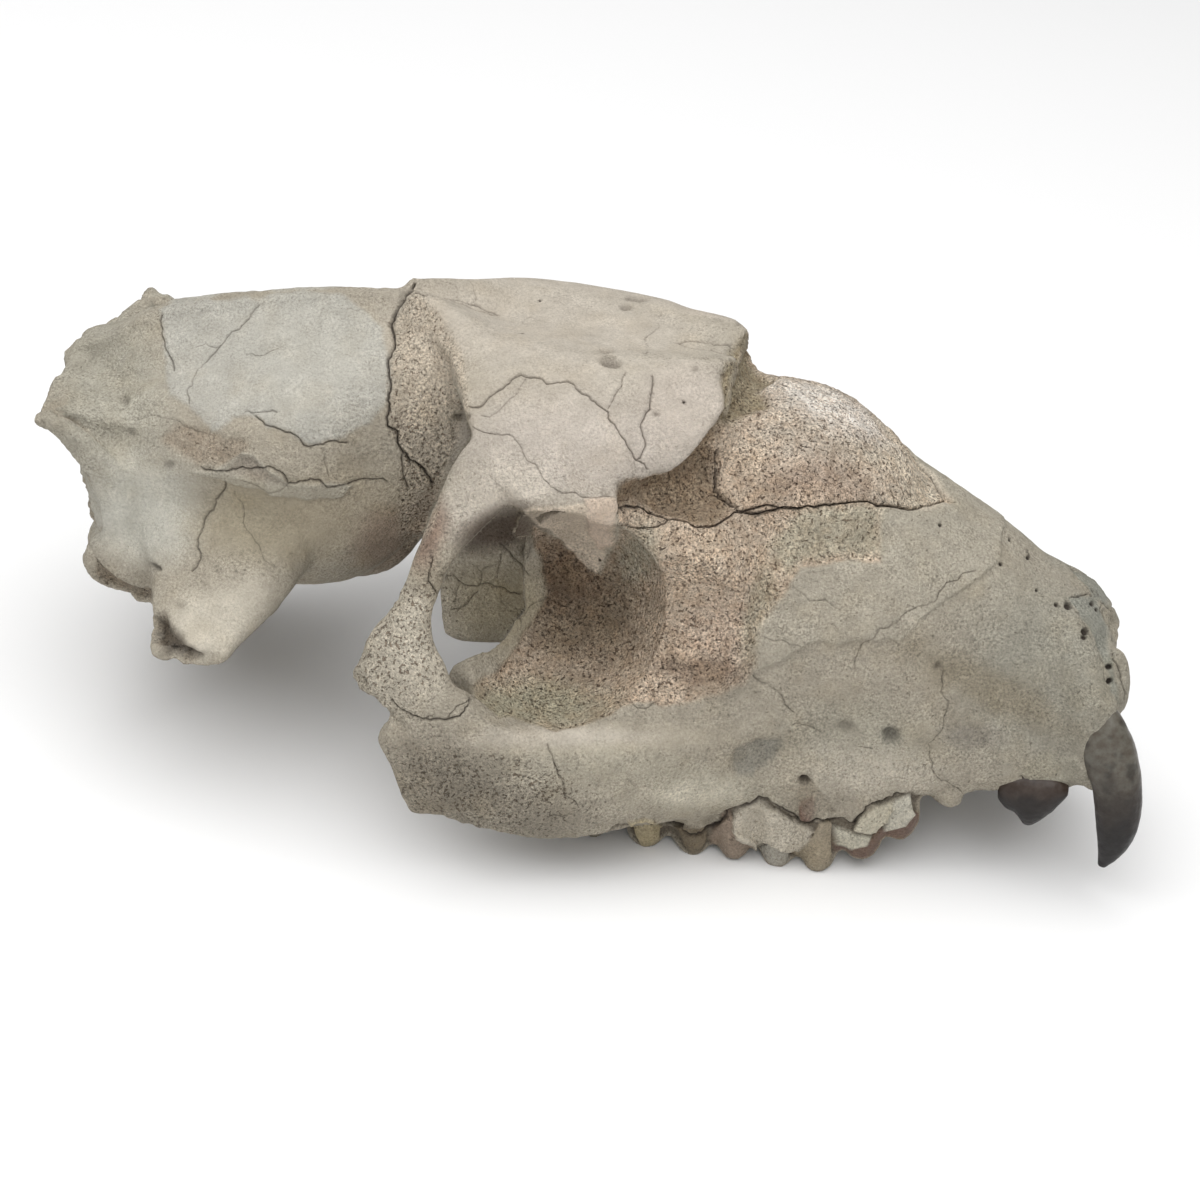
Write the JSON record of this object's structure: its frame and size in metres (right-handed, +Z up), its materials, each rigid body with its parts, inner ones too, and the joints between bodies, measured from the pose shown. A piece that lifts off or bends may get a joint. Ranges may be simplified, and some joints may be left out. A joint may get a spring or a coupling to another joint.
{
  "type": "fossil skull",
  "caption": "Fossil skull of a sheep-sized hoofed plant eater without its lower jaw: cracked pale bone, stone in the eye sockets and nose, dark canine; lies on its cheek teeth",
  "frame": {"origin": "Centre of the bounding box at floor level, with the skull lying on its cheek teeth and on the long process under its left ear", "axes": "+X toward the front teeth, +Y to the animal's left, +Z up from the floor"},
  "size_m": [0.2174, 0.1152, 0.0929],
  "materials": {
    "fossil_bone": "matt mineral bone, pale grey to warm beige, cracked and pitted",
    "filling_stone": "rough grained sandstone, pinkish brown with grey margins",
    "tooth_enamel": "smooth dark brown to black mineralised enamel, half gloss"
  },
  "bodies": {
    "root": {"occiput": "fossil_bone", "left_cheek_arch": "fossil_bone", "right_arch_root": "fossil_bone", "braincase": "fossil_bone", "frontals": "fossil_bone", "snout_stone": "filling_stone", "right_orbital_bar": "fossil_bone", "left_orbital_bar": "fossil_bone", "right_cheekbone": "fossil_bone", "left_cheekbone": "fossil_bone", "sphenoid": "fossil_bone", "socket_stone": "filling_stone", "right_upper_jaw": "fossil_bone", "left_upper_jaw": "fossil_bone", "right_canine": "tooth_enamel", "left_canine": "tooth_enamel", "right_first_premolar": "tooth_enamel", "left_first_premolar": "tooth_enamel"}
  },
  "joints": []
}
